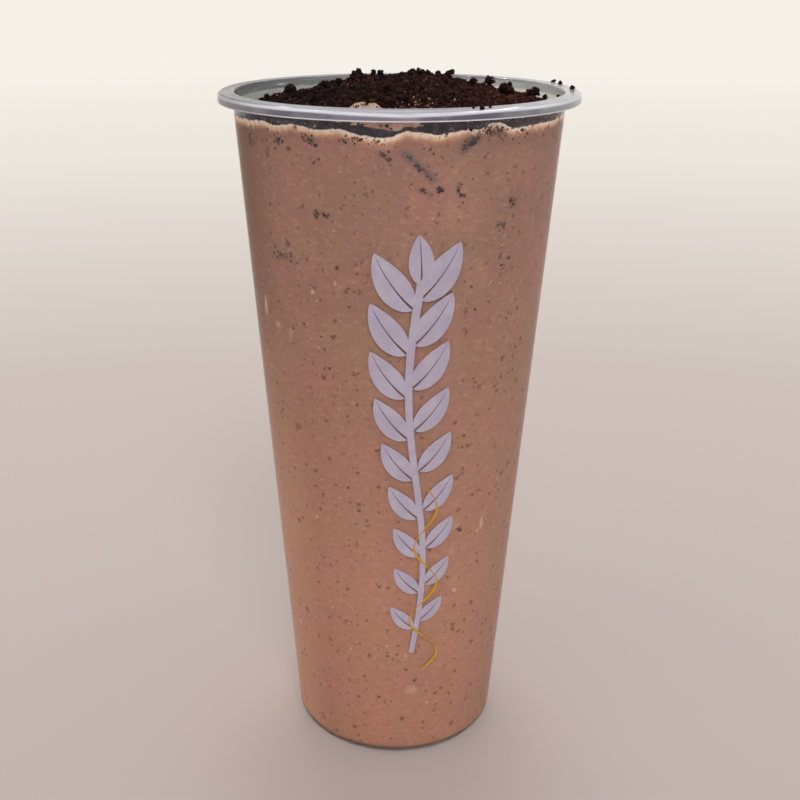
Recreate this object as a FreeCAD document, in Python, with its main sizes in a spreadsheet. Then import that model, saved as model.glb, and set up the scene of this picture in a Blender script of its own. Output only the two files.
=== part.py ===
import FreeCAD, Part
import Sketcher
import math
import os

from FreeCAD import Vector

# A cookies and cream milkshake in a tall, clear plastic cup, with a heap of dark biscuit crumbs on top.
# Millimetres, +Z up. The origin is the middle of the cup's foot, and the front is towards -Y.
# An azimuth is in degrees from the front, positive towards +X.

SIZES = [
    # cup
    ("cup_height", 180.0, "foot to the top of the rim"),
    ("rim_diameter", 90.0, "outside of the rim"),
    ("base_diameter", 56.3, "outside of the wall, carried down to the foot"),
    ("flange_width", 3.5, "from the wall's outside to the rim's outside"),
    ("wall_thickness", 0.7, "side wall, measured level"),
    ("floor_thickness", 0.9, "floor over the foot's recess"),
    ("foot_recess", 0.5, "how far the floor's underside is raised"),
    ("foot_ring_width", 2.5, "flat ring that the cup stands on"),
    ("corner_round", 4.2, "outside corner between the wall and the foot"),
    ("foot_draft", 0.5, "how far the recess's side leans out"),
    ("rim_thickness", 0.9, "flange and skirt"),
    ("skirt_depth", 2.5, "top of the rim to the skirt's lower edge"),
    ("rim_round", 1.1, "outer top corner of the rim"),
    ("mouth_round", 0.5, "inner top corner of the rim"),
    ("skirt_round", 0.35, "outer lower edge of the skirt"),
    ("skirt_draft", 0.3, "how much thicker the skirt is at its root"),
    # milkshake
    ("froth_drop", 5.0, "rim to the froth line at the wall"),
    ("shake_dome", 1.2, "rise of the milkshake from the wall to the middle"),
    ("ripple_height", 0.35, "waves of the froth line along the wall"),
    ("mound_azimuth", -14.0, "mound of milkshake that stands bare among the crumbs"),
    ("mound_inset", 6.0, "mound's middle, in from the wall"),
    ("mound_height", 5.0, "mound over the surface round it"),
    ("mound_spread", 4.4, "from the mound's middle to where it is under two thirds as high"),
    ("mound_bare", 4.0, "radius of the mound's bare top"),
    ("dip_azimuth", -9.0, "low stretch of the froth line, in front"),
    ("dip_depth", 1.1, "how far that stretch lies below the rest"),
    ("dip_spread", 5.0, "half the length of the low stretch"),
    ("knob_azimuth", 30.5, "small knob of froth against the wall"),
    ("knob_height", 1.5, "knob over the froth line"),
    ("knob_spread", 2.0, "half the width of the knob"),
    # crumbs
    ("crumb_drop", 3.2, "rim to the top of the crumbs, at the wall"),
    ("crumb_lean", 0.6, "how much higher that is in front, and lower behind"),
    ("crumb_peak", 3.7, "top of the heap over the rim"),
    ("peak_offset", 5.0, "how far the heap's top lies to the right of the axis"),
    ("crumb_least", 0.3, "crumbs at the edge of a bare place"),
    ("crumb_slope", 1.0, "rise of the crumbs from that edge, per millimetre"),
    ("crumb_grain", 3.6, "width of one lump of crumbs"),
    ("crumb_rough", 0.7, "how far lumps stand out or lie back"),
    ("clump_height", 1.8, "the few largest clumps, over the heap"),
    ("clump_spread", 1.9, "half the width of such a clump"),
    ("gap_inset", 7.5, "bare crescent of milkshake at the back, in from the wall"),
    ("gap_half_length", 13.0, "half the length of that crescent"),
]

# The largest clumps, as azimuth and share of the way from the axis to the wall.
CLUMPS = [(-86.0, 0.62), (-110.0, 0.30), (100.0, 0.55), (88.0, 0.84)]

# The froth line's waves, as how many go round the cup, where they start in radians, and their share.
RIPPLES = [(7.0, 1.9, 0.6), (11.0, 0.4, 0.4)]
LUMP_SHIFT = 0.3  # how far a lump lies off its grid, in shares of its width

WALL_SLOPE = "(Sizes.rim_diameter / 2 - Sizes.flange_width - Sizes.base_diameter / 2) / Sizes.cup_height"
FLOOR_LEVEL = "(Sizes.foot_recess + Sizes.floor_thickness)"
MOUTH_LEVEL = "Sizes.cup_height"
RIM_RADIUS = "Sizes.rim_diameter / 2"
FLANGE_UNDERSIDE = "(Sizes.cup_height - Sizes.rim_thickness)"
SKIRT_EDGE = "(Sizes.cup_height - Sizes.skirt_depth)"
SKIRT_INSIDE = "(Sizes.rim_diameter / 2 - Sizes.rim_thickness)"
RECESS_RADIUS = "(Sizes.base_diameter / 2 - Sizes.corner_round - Sizes.foot_ring_width)"
INNER_CORNER = "Sizes.corner_round - Sizes.wall_thickness"
FILLING_TOP = "(Sizes.cup_height + 3 * Sizes.crumb_peak)"
FROTH_LEVEL = "(Sizes.cup_height - Sizes.froth_drop)"
AXIS = "0"
BLOCK_FOOT = -1.0  # the block under the milkshake's surface starts below the cup's foot


def outer_radius(level):
    """Expression for the outside of the wall at a level."""
    return f"Sizes.base_diameter / 2 + {WALL_SLOPE} * {level}"


def inner_radius(level):
    """Expression for the inside of the wall at a level."""
    return f"{outer_radius(level)} - Sizes.wall_thickness"


def make_sheet(doc):
    """The driving dimensions, one named cell each."""
    sheet = doc.addObject("Spreadsheet::Sheet", "Sizes")
    for row, (alias, value, meaning) in enumerate(SIZES, start=1):
        sheet.set(f"A{row}", alias)
        sheet.set(f"B{row}", str(value))
        sheet.set(f"C{row}", meaning)
        sheet.setAlias(f"B{row}", alias)
    doc.recompute()
    return sheet


def value_of(sheet, expression):
    """A sheet expression as a plain number."""
    return float(sheet.evalExpression(expression))


def upright_sketch(body, name, sheet, corners):
    """A closed outline beside the Z axis, from corners given as (radius, level) expressions."""
    sketch = body.newObject("Sketcher::SketchObject", name)
    plane = next(item for item in body.Origin.OriginFeatures if item.Role == "XZ_Plane")
    sketch.AttachmentSupport = [(plane, "")]
    sketch.MapMode = "FlatFace"
    places = [Vector(value_of(sheet, radius), value_of(sheet, level), 0) for radius, level in corners]
    count = len(corners)
    for index in range(count):
        sketch.addGeometry(Part.LineSegment(places[index], places[(index + 1) % count]))
    for index in range(count):
        sketch.addConstraint(Sketcher.Constraint("Coincident", index, 2, (index + 1) % count, 1))
    for index, (radius, level) in enumerate(corners):
        if radius == AXIS:
            sketch.addConstraint(Sketcher.Constraint("PointOnObject", index, 1, -2))
        else:
            across = sketch.addConstraint(
                Sketcher.Constraint("DistanceX", -1, 1, index, 1, places[index].x))
            sketch.setExpression(f"Constraints[{across}]", radius)
        if level == "0":
            sketch.addConstraint(Sketcher.Constraint("PointOnObject", index, 1, -1))
        else:
            up = sketch.addConstraint(
                Sketcher.Constraint("DistanceY", -1, 1, index, 1, places[index].y))
            sketch.setExpression(f"Constraints[{up}]", level)
    return sketch


def turned_body(doc, label, sheet, corners):
    """A body turned about the Z axis from an upright outline."""
    body = doc.addObject("PartDesign::Body", label)
    body.Label = label
    sketch = upright_sketch(body, f"{label}_outline", sheet, corners)
    turned = body.newObject("PartDesign::Revolution", f"{label}_turned")
    turned.Profile = sketch
    turned.ReferenceAxis = (sketch, ["V_Axis"])
    turned.Angle = 360.0
    doc.recompute()
    return body


def ring_edges(shape, radius, level):
    """Names of the circular edges at a radius and a level."""
    names = []
    for index, edge in enumerate(shape.Edges, start=1):
        curve = edge.Curve
        if not isinstance(curve, Part.Circle):
            continue
        if abs(curve.Radius - radius) < 1e-4 and abs(curve.Center.z - level) < 1e-4:
            names.append(f"Edge{index}")
    return names


def round_rings(doc, body, name, sheet, radius_expression, rings):
    """Fillet the ring edges of a turned body, each given as (radius, level) expressions."""
    base = body.Tip
    edges = []
    for radius, level in rings:
        found = ring_edges(base.Shape, value_of(sheet, radius), value_of(sheet, level))
        if not found:
            raise RuntimeError(f"{name}: no edge at {radius}, {level}")
        edges += found
    fillet = body.newObject("PartDesign::Fillet", name)
    fillet.Base = (base, edges)
    fillet.setExpression("Radius", radius_expression)
    body.Tip = fillet
    doc.recompute()


def make_cup(doc, sheet):
    """The cup: tapered wall, ring foot, and a flange that turns down into a short skirt."""
    cup = turned_body(doc, "cup", sheet, [
        (AXIS, "Sizes.foot_recess"),
        (RECESS_RADIUS, "Sizes.foot_recess"),
        (f"{RECESS_RADIUS} + Sizes.foot_draft", "0"),
        (outer_radius("0"), "0"),
        (outer_radius(FLANGE_UNDERSIDE), FLANGE_UNDERSIDE),
        (f"{SKIRT_INSIDE} - Sizes.skirt_draft", FLANGE_UNDERSIDE),
        (SKIRT_INSIDE, SKIRT_EDGE),
        (RIM_RADIUS, SKIRT_EDGE),
        (RIM_RADIUS, MOUTH_LEVEL),
        (inner_radius(MOUTH_LEVEL), MOUTH_LEVEL),
        (inner_radius(FLOOR_LEVEL), FLOOR_LEVEL),
        (AXIS, FLOOR_LEVEL),
    ])
    round_rings(doc, cup, "inner_corner", sheet, INNER_CORNER, [(inner_radius(FLOOR_LEVEL), FLOOR_LEVEL)])
    round_rings(doc, cup, "corner", sheet, "Sizes.corner_round", [(outer_radius("0"), "0")])
    round_rings(doc, cup, "rim_corner", sheet, "Sizes.rim_round", [(RIM_RADIUS, MOUTH_LEVEL)])
    round_rings(doc, cup, "mouth_corner", sheet, "Sizes.mouth_round",
                [(inner_radius(MOUTH_LEVEL), MOUTH_LEVEL)])
    round_rings(doc, cup, "skirt_edge", sheet, "Sizes.skirt_round", [(RIM_RADIUS, SKIRT_EDGE)])
    return cup


def make_filling(doc, sheet):
    """The room inside the cup's wall, carried up past the rim, from which both foods are cut."""
    filling = turned_body(doc, "filling", sheet, [
        (AXIS, FLOOR_LEVEL),
        (inner_radius(FLOOR_LEVEL), FLOOR_LEVEL),
        (inner_radius(FILLING_TOP), FILLING_TOP),
        (AXIS, FILLING_TOP),
    ])
    round_rings(doc, filling, "filling_corner", sheet, INNER_CORNER,
                [(inner_radius(FLOOR_LEVEL), FLOOR_LEVEL)])
    return filling


def bell(distance, spread):
    """A smooth bump: 1 in its middle, fading over the spread."""
    return math.exp(-0.5 * (distance / spread) ** 2)


def noise(column, row, channel):
    """A repeatable number from -1 to 1 for a grid point."""
    wave = math.sin(12.9898 * column + 78.233 * row + 37.719 * channel) * 43758.5453
    return 2.0 * (wave - math.floor(wave)) - 1.0


class Surfaces:
    """The milkshake's surface and the heap's outline, as heights over the plan."""

    def __init__(self, sheet):
        for alias, _, _ in SIZES:
            setattr(self, alias, float(getattr(sheet, alias)))
        self.wall = value_of(sheet, inner_radius(FROTH_LEVEL))
        self.mound = self.place(self.mound_azimuth, self.wall - self.mound_inset)
        # The crescent's inner edge is an arc, from wall to wall through a point in from the wall.
        arc_rise = math.sqrt(self.wall ** 2 - self.gap_half_length ** 2) - (self.wall - self.gap_inset)
        self.gap_radius = (self.gap_half_length ** 2 + arc_rise ** 2) / (2.0 * arc_rise)
        self.gap_centre = (0.0, self.wall - self.gap_inset + self.gap_radius)

    def place(self, azimuth, radius):
        """Plan position at an azimuth and a radius."""
        turn = math.radians(azimuth)
        return radius * math.sin(turn), -radius * math.cos(turn)

    def shake(self, x, y):
        """Height of the milkshake's surface."""
        share = min(math.hypot(x, y) / self.wall, 1.0)
        turn = math.atan2(x, -y)
        ripple = sum(part * math.sin(waves * turn + start) for waves, start, part in RIPPLES)
        height = self.cup_height - self.froth_drop
        height += self.shake_dome * (1.0 - share ** 4)
        height += self.ripple_height * ripple * share ** 3
        height += self.mound_height * bell(math.dist((x, y), self.mound), self.mound_spread)
        dip = self.place(self.dip_azimuth, self.wall)
        height -= self.dip_depth * bell(math.dist((x, y), dip), self.dip_spread)
        knob = self.place(self.knob_azimuth, self.wall)
        height += self.knob_height * bell(math.dist((x, y), knob), self.knob_spread)
        return height

    def heap(self, x, y):
        """Height of the heap of crumbs, without its lumps."""
        share = min(math.hypot(x, y) / self.wall, 1.0)
        edge = self.cup_height - self.crumb_drop - self.crumb_lean * y / self.wall
        peak = self.cup_height + self.crumb_peak
        height = edge + (peak - edge) * (1.0 - share ** 2) * (1.0 + self.peak_offset * x / self.wall ** 2)
        for azimuth, share_out in CLUMPS:
            clump = self.place(azimuth, share_out * self.wall)
            height += self.clump_height * bell(math.dist((x, y), clump), self.clump_spread)
        return height

    def crumb_limit(self, x, y):
        """The crumbs thin out towards the bare mound and the bare crescent."""
        outside = min(math.dist((x, y), self.mound) - self.mound_bare,
                      math.dist((x, y), self.gap_centre) - self.gap_radius)
        return self.shake(x, y) + self.crumb_least + self.crumb_slope * max(outside, 0.0)


def lump_levels(surfaces, column, row):
    """A grid point shifted like a lump of crumbs, with the milkshake's and the crumbs' levels there."""
    grain = surfaces.crumb_grain
    x = grain * (column + LUMP_SHIFT * noise(column, row, 1))
    y = grain * (row + LUMP_SHIFT * noise(column, row, 2))
    low = surfaces.shake(x, y)
    high = surfaces.heap(x, y) + surfaces.crumb_rough * noise(column, row, 3)
    return x, y, low, max(min(high, surfaces.crumb_limit(x, y)), low + surfaces.crumb_least)


def make_block(doc, name, tops, bottoms, count):
    """A closed block between two skins of facets over the same square grid of count by count points."""
    points = tops + bottoms
    below = count * count
    triangles = []
    for column in range(count - 1):
        for row in range(count - 1):
            near, right = column * count + row, (column + 1) * count + row
            far, left = right + 1, near + 1
            for first, second, third in ((near, right, far), (near, far, left)):
                triangles.append((first, second, third))
                triangles.append((below + third, below + second, below + first))
    last = count - 1
    border = [column * count for column in range(last)]
    border += [last * count + row for row in range(last)]
    border += [column * count + last for column in range(last, 0, -1)]
    border += [row for row in range(last, 0, -1)]
    for index, here in enumerate(border):
        after = border[(index + 1) % len(border)]
        triangles.append((below + here, below + after, after))
        triangles.append((below + here, after, here))
    skin = Part.Shape()
    skin.makeShapeFromMesh((points, triangles), 1e-4)
    block = doc.addObject("Part::Feature", name)
    block.Shape = Part.Solid(skin.Shells[0])
    block.Placement = FreeCAD.Placement()
    return block


def make_blocks(doc, surfaces):
    """Blocks wider than the cup: one up to the milkshake's surface, and one of crumbs lying on it."""
    reach = math.ceil(surfaces.wall / surfaces.crumb_grain) + 2
    span = range(-reach, reach + 1)
    levels = [lump_levels(surfaces, column, row) for column in span for row in span]
    shared = [Vector(x, y, low) for x, y, low, high in levels]
    feet = [Vector(x, y, BLOCK_FOOT) for x, y, low, high in levels]
    heads = [Vector(x, y, high) for x, y, low, high in levels]
    below = make_block(doc, "below_surface", shared, feet, len(span))
    lumps = make_block(doc, "lumps", heads, shared, len(span))
    return below, lumps


def upright_post(doc, name, centre, radius):
    """A post that clears the crumbs off a bare place."""
    post = doc.addObject("Part::Cylinder", name)
    post.Radius = radius
    post.setExpression("Height", FILLING_TOP)
    post.Placement = FreeCAD.Placement(Vector(*centre, 0), FreeCAD.Rotation())
    return post


def combine(doc, kind, label, base, tool):
    """Base cut by the tool, or what base and tool have in common."""
    result = doc.addObject(f"Part::{kind}", label)
    result.Label = label
    result.Base = base
    result.Tool = tool
    doc.recompute()
    return result


def make_foods(doc, sheet, filling):
    """The milkshake up to its froth line, and the crumbs that lie face to face on it."""
    surfaces = Surfaces(sheet)
    below, lumps = make_blocks(doc, surfaces)
    milkshake = combine(doc, "Common", "milkshake", filling, below)
    crumbs = combine(doc, "Common", "lumps_in_cup", lumps, filling)
    mound_post = upright_post(doc, "mound_post", surfaces.mound, surfaces.mound_bare)
    gap_post = upright_post(doc, "gap_post", surfaces.gap_centre, surfaces.gap_radius)
    crumbs = combine(doc, "Cut", "lumps_round_mound", crumbs, mound_post)
    crumbs = combine(doc, "Cut", "crumb_topping", crumbs, gap_post)
    return [milkshake, crumbs]


def check(doc, nodes):
    """Stop before anything is written if an object failed or a piece isn't one valid solid."""
    for item in doc.Objects:
        if "Invalid" in item.State or "Error" in item.State:
            raise RuntimeError(f"{item.Name} failed: {item.State}")
    for node in nodes:
        shape = node.Shape
        if shape.isNull() or not shape.isValid() or len(shape.Solids) != 1:
            raise RuntimeError(f"{node.Label} isn't one valid solid ({len(shape.Solids)} solids)")


def main():
    doc = FreeCAD.newDocument("milkshake_cup")
    sheet = make_sheet(doc)
    cup = make_cup(doc, sheet)
    filling = make_filling(doc, sheet)
    nodes = [cup] + make_foods(doc, sheet, filling)
    doc.recompute()
    check(doc, nodes)
    os.makedirs("parts", exist_ok=True)
    for node in nodes:
        node.Shape.exportStep(f"parts/{node.Label}.step")
        print(node.Label, "volume", round(node.Shape.Volume / 1000, 2), "ml", node.Shape.BoundBox)


main()
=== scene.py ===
"""Looks of a cookies and cream milkshake in a tall clear plastic cup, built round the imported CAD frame.

Sizes are in millimetres until a mesh is made. An azimuth is in degrees from the front (-Y), positive
towards +X, and a level is a height over the foot. Every random draw comes from a seeded generator.
"""

import itertools
import math

import bpy
import numpy as np
from mathutils import Matrix, Vector
from mathutils.bvhtree import BVHTree


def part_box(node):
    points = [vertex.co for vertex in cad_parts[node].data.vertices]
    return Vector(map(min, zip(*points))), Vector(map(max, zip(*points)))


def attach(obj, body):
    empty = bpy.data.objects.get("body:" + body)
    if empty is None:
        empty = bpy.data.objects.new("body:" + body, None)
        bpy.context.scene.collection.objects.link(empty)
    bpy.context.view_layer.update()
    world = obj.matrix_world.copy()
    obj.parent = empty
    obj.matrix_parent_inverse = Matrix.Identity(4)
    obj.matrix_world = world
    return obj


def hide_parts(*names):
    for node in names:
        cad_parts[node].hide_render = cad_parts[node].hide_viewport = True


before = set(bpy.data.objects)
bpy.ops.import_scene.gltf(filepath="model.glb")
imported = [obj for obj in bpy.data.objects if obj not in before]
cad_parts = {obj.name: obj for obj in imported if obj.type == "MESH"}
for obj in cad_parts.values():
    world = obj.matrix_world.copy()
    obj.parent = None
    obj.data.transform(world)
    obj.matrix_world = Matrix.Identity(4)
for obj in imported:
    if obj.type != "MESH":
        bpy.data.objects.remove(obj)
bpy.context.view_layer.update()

MM = 0.001
FULL_TURN = 2.0 * math.pi

# ---- sizes that follow the frame ----
_, CUP_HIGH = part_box("cup")
CUP_HEIGHT = CUP_HIGH.z / MM
RIM_RADIUS = CUP_HIGH.x / MM

# ---- sizes of the cup, as the CAD source has them ----
FLANGE_WIDTH = 3.5
BASE_RADIUS = 28.15
WALL = 0.7
FLOOR = 0.9
FOOT_RECESS = 0.5
FOOT_RING = 2.5
FOOT_DRAFT = 0.5
CORNER_ROUND = 4.2
RIM_THICKNESS = 0.9
SKIRT_DEPTH = 2.5
SKIRT_DRAFT = 0.3
RIM_ROUND = 1.1
MOUTH_ROUND = 0.5
SKIRT_ROUND = 0.35
SLOPE = (RIM_RADIUS - FLANGE_WIDTH - BASE_RADIUS) / CUP_HEIGHT
FLOOR_LEVEL = FOOT_RECESS + FLOOR

# ---- milkshake ----
BITE = 0.3
FROTH_DROP = 5.0
FROTH = CUP_HEIGHT - FROTH_DROP
# The froth line in front, as azimuth and drop below the rim. Elsewhere it wanders by itself.
FROTH_LINE = [
    (-66, 5), (-60, 5.1), (-54, 4.4), (-45, 5.1), (-36, 4.3), (-28, 5.4), (-21, 4.6), (-14, 6), (-4, 6.2),
    (2, 4.8), (10, 5.9), (18, 5), (25, 4.8), (29, 3.5), (33, 4.1), (38, 5.5), (52, 5), (66, 5.3),
]


def outer_radius(level):
    """Outside of the cup's wall."""
    return BASE_RADIUS + SLOPE * level


def inner_radius(level):
    """Inside of the cup's wall."""
    return outer_radius(level) - WALL


def linear(red, green, blue):
    """A display colour, 0 to 255, as a shader colour."""
    values = []
    for channel in (red, green, blue):
        share = channel / 255.0
        values.append(share / 12.92 if share <= 0.04045 else ((share + 0.055) / 1.055) ** 2.4)
    return (*values, 1.0)


# ---- smooth noise ----

def lattice_noise(points, scale, seed):
    """Smooth noise from -1 to 1 at an array of points, with features of about the scale."""
    points = np.asarray(points, float) / scale
    corner = np.floor(points).astype(np.int64)
    share = points - corner
    share = share * share * (3.0 - 2.0 * share)
    total = np.zeros(len(points))
    dimensions = points.shape[1]
    for index in range(2 ** dimensions):
        weight = np.ones(len(points))
        code = np.full(len(points), seed * 7919, np.int64)
        for axis in range(dimensions):
            side = (index >> axis) & 1
            weight *= share[:, axis] if side else 1.0 - share[:, axis]
            code = code * 73856093 ^ (corner[:, axis] + side) * 19349663
        code = (code ^ (code >> 13)) * 1274126177
        value = ((code ^ (code >> 16)) & 0xFFFF) / 32767.5 - 1.0
        total += weight * value
    return total


def layered_noise(points, scale, seed, layers=3):
    """Several noises, each half as wide and half as strong as the one before."""
    total = np.zeros(len(points))
    for layer in range(layers):
        total += 0.5 ** layer * lattice_noise(points, scale / 2 ** layer, seed + layer)
    return total


# ---- meshes ----

def new_piece(name, points, faces, material, slot, smooth=True, attributes=None):
    """A piece of the object from millimetre points. It rides on the one body."""
    mesh = bpy.data.meshes.new(name)
    mesh.from_pydata((np.asarray(points, float) * MM).tolist(), [], faces)
    mesh.update()
    for key, values in (attributes or {}).items():
        layer = mesh.attributes.new(key, "FLOAT", "POINT")
        layer.data.foreach_set("value", np.asarray(values, np.float32))
    if smooth:
        mesh.polygons.foreach_set("use_smooth", [True] * len(mesh.polygons))
    piece = bpy.data.objects.new(name, mesh)
    bpy.context.scene.collection.objects.link(piece)
    for item in (material if isinstance(material, list) else [material]):
        mesh.materials.append(item)
    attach(piece, "root")
    return piece


def wrapped(azimuths):
    """Azimuths from -180 to 180."""
    return (azimuths + 180.0) % 360.0 - 180.0


def azimuths_of(points):
    return np.degrees(np.arctan2(points[:, 0], -points[:, 1]))


def even_turns(steps):
    """Angles of this many even steps round the axis."""
    return np.arange(steps) * (FULL_TURN / steps)


def around(turns, radius, level):
    """Points at these angles from the front round the axis, at the radius and level."""
    sides = np.broadcast_arrays(radius * np.sin(turns), -radius * np.cos(turns), level)
    return np.stack(sides, axis=1)


def fan(centre, first, steps, flip):
    """Triangles between a point and the ring that starts at the first point."""
    here = np.arange(steps)
    after = (here + 1) % steps
    if flip:
        here, after = after, here
    return np.stack([np.full(steps, centre), first + here, first + after], axis=1).tolist()


def ring_faces(first, steps, rings, flip=False):
    """Faces between neighbours of several rings of this many points each."""
    low = first + np.arange(rings - 1)[:, None] * steps
    here = low + np.arange(steps)
    after = low + (np.arange(steps) + 1) % steps
    faces = np.stack([here, after, after + steps, here + steps], axis=2).reshape(-1, 4)
    return (faces[:, ::-1] if flip else faces).tolist()


def shell_faces(steps, rings, flip=False):
    """Faces of a closed shell: a point on the axis, rings of this many points each, another point."""
    last = 1 + (rings - 1) * steps
    ends = fan(0, 1, steps, not flip) + fan(last + steps, last, steps, flip)
    return ends + ring_faces(1, steps, rings, flip)


def rounded(corners, pieces=8):
    """An outline through (radius, level, fillet) corners, with each filleted corner as an arc."""
    outline = []
    for index, (radius, level, fillet) in enumerate(corners):
        here = Vector((radius, level))
        if fillet == 0.0:
            outline.append(here)
            continue
        before = (Vector(corners[index - 1][:2]) - here).normalized()
        after = (Vector(corners[index + 1][:2]) - here).normalized()
        half = before.angle(after) / 2.0
        middle = here + (before + after).normalized() * (fillet / math.sin(half))
        start = here + before * (fillet / math.tan(half)) - middle
        end = here + after * (fillet / math.tan(half)) - middle
        for step in range(pieces + 1):
            turn = start.lerp(end, step / pieces)
            outline.append(middle + turn.normalized() * fillet)
    return [tuple(point) for point in outline]


def divided(outline, longest):
    """The outline with its long runs divided, so that no run is longer than this."""
    points = [outline[0]]
    for start, end in zip(outline, outline[1:]):
        runs = max(1, math.ceil(math.dist(start, end) / longest))
        for run in range(1, runs + 1):
            share = run / runs
            points.append((start[0] + (end[0] - start[0]) * share, start[1] + (end[1] - start[1]) * share))
    return points


# ---- materials ----

class Nodes:
    """A short way to write the node tree of a material or a world."""

    def __init__(self, owner, output):
        self.owner = owner
        owner.use_nodes = True
        self.tree = owner.node_tree
        self.tree.nodes.clear()
        self.output = self.tree.nodes.new(output)

    def add(self, kind, inputs=None, **settings):
        node = self.tree.nodes.new(kind)
        for key, value in settings.items():
            setattr(node, key, value)
        for key, value in (inputs or {}).items():
            self.put(node.inputs[key], value)
        return node

    def put(self, socket, value):
        if isinstance(value, bpy.types.NodeSocket):
            self.tree.links.new(value, socket)
        else:
            socket.default_value = value

    def surface(self, socket):
        self.tree.links.new(socket, self.output.inputs["Surface"])
        return self.owner

    def place(self):
        return self.add("ShaderNodeTexCoord").outputs["Object"]

    def coordinate(self, axis):
        """One coordinate, 0 to 2, in metres."""
        return self.add("ShaderNodeSeparateXYZ", {"Vector": self.place()}).outputs[axis]

    def flattened(self, factor):
        """Coordinates that make a pattern this many times wider than tall."""
        stretch = {0: self.place(), 1: (1.0, 1.0, factor)}
        return self.add("ShaderNodeVectorMath", stretch, operation="MULTIPLY").outputs[0]

    def attribute(self, name):
        return self.add("ShaderNodeAttribute", attribute_name=name).outputs["Fac"]

    def noise(self, scale, detail=3.0, rough=0.5, vector=None, distortion=0.0):
        return self.add("ShaderNodeTexNoise", {
            "Vector": vector or self.place(), "Scale": scale, "Detail": detail, "Roughness": rough,
            "Distortion": distortion}).outputs["Fac"]

    def maths(self, operation, first, second=0.0, third=0.0, clamp=False):
        inputs = {0: first, 1: second, 2: third}
        return self.add("ShaderNodeMath", inputs, operation=operation, use_clamp=clamp).outputs[0]

    def times(self, first, second):
        return self.maths("MULTIPLY", first, second)

    def remap(self, value, low, high, to_high=1.0, to_low=0.0, kind="SMOOTHSTEP"):
        """The value from low to high taken to its new range. Past either end it stays."""
        limits = {"Value": value, "From Min": low, "From Max": high, "To Min": to_low, "To Max": to_high}
        return self.add("ShaderNodeMapRange", limits, interpolation_type=kind).outputs["Result"]

    def ramp(self, value, stops):
        """Display colours over a value. A stop is its place, red, green and blue."""
        node = self.add("ShaderNodeValToRGB", {"Fac": value})
        elements = node.color_ramp.elements
        while len(elements) < len(stops):
            elements.new(0.5)
        for element, (place, *colour) in zip(elements, stops):
            element.position = place
            element.color = linear(*colour)
        return node.outputs["Color"]

    def mix(self, share, first, second):
        node = self.add("ShaderNodeMix", data_type="RGBA")
        colours = [socket for socket in node.inputs if socket.type == "RGBA"]
        self.put(node.inputs[0], share)
        self.put(colours[0], first)
        self.put(colours[1], second)
        return [socket for socket in node.outputs if socket.type == "RGBA"][0]

    def tint(self, colour, *tints):
        """The colour under several display colours. A tint is its share, red, green and blue."""
        for share, *shade in tints:
            colour = self.mix(share, colour, linear(*shade))
        return colour

    def bump(self, height, strength, distance):
        return self.add("ShaderNodeBump", {
            "Height": height, "Strength": strength, "Distance": distance}).outputs["Normal"]

    def shader(self, colour, roughness, inputs):
        inputs = {"Base Color": colour, "Roughness": roughness, **inputs}
        return self.add("ShaderNodeBsdfPrincipled", inputs).outputs[0]

    def lit_through(self, shader, passed):
        """The shader, but light reaches what lies behind it in the passed colour."""
        clear = self.add("ShaderNodeBsdfTransparent", {"Color": passed})
        shadow = self.add("ShaderNodeLightPath").outputs["Is Shadow Ray"]
        return self.add("ShaderNodeMixShader", {0: shadow, 1: shader, 2: clear.outputs[0]}).outputs[0]

    def seen_directly(self):
        """1 for rays that show the background: those of the camera, of gloss and of clear plastic."""
        rays = self.add("ShaderNodeLightPath").outputs
        seen = self.maths("MAXIMUM", rays["Is Camera Ray"], rays["Is Glossy Ray"])
        return self.maths("MAXIMUM", seen, rays["Is Transmission Ray"])


def material(name):
    """The empty node tree of a new material."""
    return Nodes(bpy.data.materials.new(name), "ShaderNodeOutputMaterial")


def plastic(name, colour, transmission, roughness, index, left=None):
    """Plastic that light passes, so that what it holds is lit through it. It may carry a painted shade on the
    left.
    """
    nodes = material(name)
    if left is not None:
        colour = nodes.mix(nodes.remap(nodes.coordinate(0), -0.030, 0.030), left, colour)
    body = nodes.shader(colour, roughness, {"IOR": index, "Transmission Weight": transmission})
    return nodes.surface(nodes.lit_through(body, (0.97, 0.975, 0.97, 1.0)))


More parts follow.
